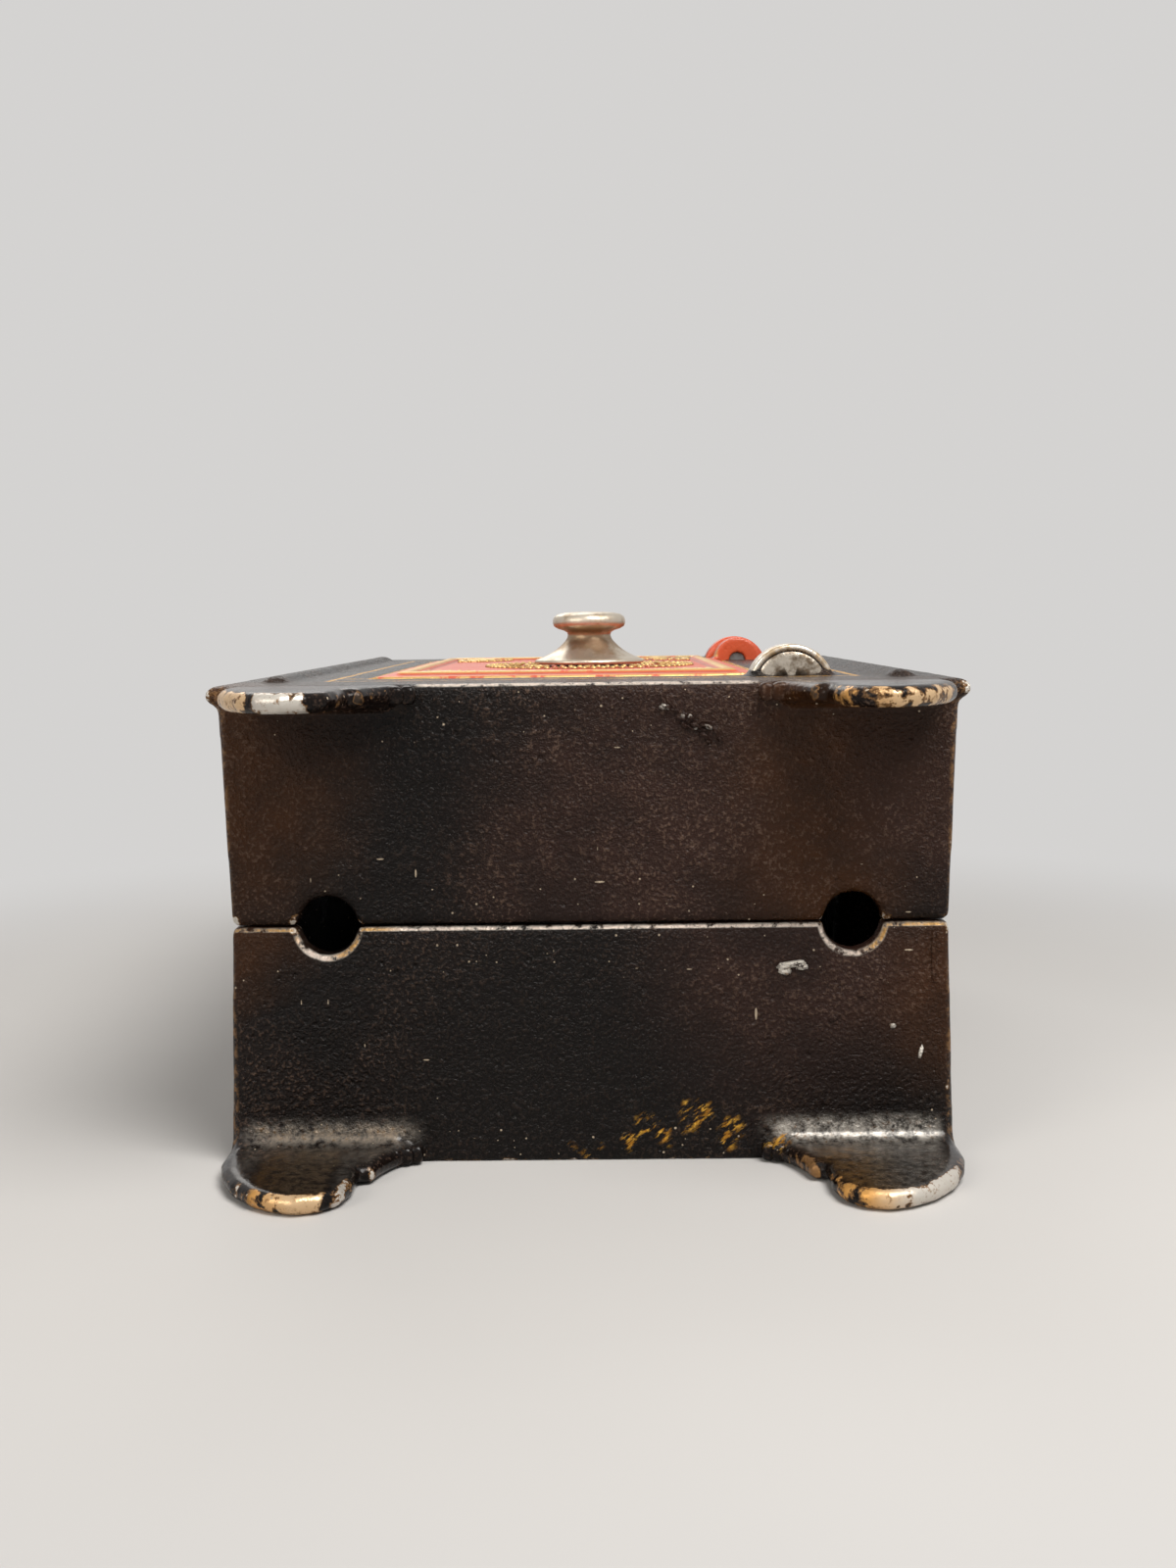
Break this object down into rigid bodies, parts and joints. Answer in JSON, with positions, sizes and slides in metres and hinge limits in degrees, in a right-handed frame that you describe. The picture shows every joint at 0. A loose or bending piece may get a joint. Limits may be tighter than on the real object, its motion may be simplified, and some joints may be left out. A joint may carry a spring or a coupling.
{
  "type": "toy safe money box",
  "caption": "Cast iron toy safe lying on its back: two half boxes on scalloped feet, hinged red door with a turning dial knob, lock wheels behind it, and a coin slot in the top.",
  "frame": {"origin": "under the middle of the whole safe, on the surface that its back plate lies on", "axes": "+X to the hinge side of the door, +Y from the feet to the top of the safe, +Z out through the door. To stand the safe on its feet, turn it 90 degrees about +X so that +Y points up."},
  "size_m": [0.0834, 0.1276, 0.0613],
  "materials": {
    "black_iron": "worn black japan over cast iron",
    "red_iron": "worn red enamel with gilt relief over cast iron",
    "nickel": "tarnished nickel plate",
    "brass": "dull brass",
    "steel": "dull mild steel"
  },
  "bodies": {
    "case": {"front_casting": "black_iron", "rear_casting": "black_iron", "body_screws": "steel", "hinge_pin_lower": "steel", "hinge_pin_upper": "steel", "keeper": "steel", "keeper_screws": "steel"},
    "door": {"door": "red_iron"},
    "dial": {"knob": "nickel", "spindle": "steel", "driver_wheel": "brass", "driver_peg": "steel", "middle_spacer": "brass", "rear_spacer": "brass", "end_washer": "steel", "spindle_nut": "steel"},
    "middle_tumbler": {"middle_tumbler": "brass", "middle_pegs": "steel"},
    "rear_tumbler": {"rear_tumbler": "brass", "rear_peg": "steel"}
  },
  "joints": [
    {"name": "door_swing", "type": "hinge", "parent": "case", "child": "door", "pos_m": [0.0238, 0.007, 0.0533], "axis": [0, 1, 0], "range_deg": [0, 120]},
    {"name": "dial_turn", "type": "hinge", "parent": "door", "child": "dial", "pos_m": [0, 0.007, 0.05], "axis": [0, 0, 1], "continuous": true},
    {"name": "middle_tumbler_turn", "type": "hinge", "parent": "door", "child": "middle_tumbler", "pos_m": [0, 0.007, 0.0424], "axis": [0, 0, 1], "continuous": true},
    {"name": "rear_tumbler_turn", "type": "hinge", "parent": "door", "child": "rear_tumbler", "pos_m": [0, 0.007, 0.0386], "axis": [0, 0, 1], "continuous": true}
  ],
  "couplings": [
    {"joint": "middle_tumbler_turn", "follows": "dial_turn", "ratio": 1},
    {"joint": "rear_tumbler_turn", "follows": "dial_turn", "ratio": 1}
  ]
}
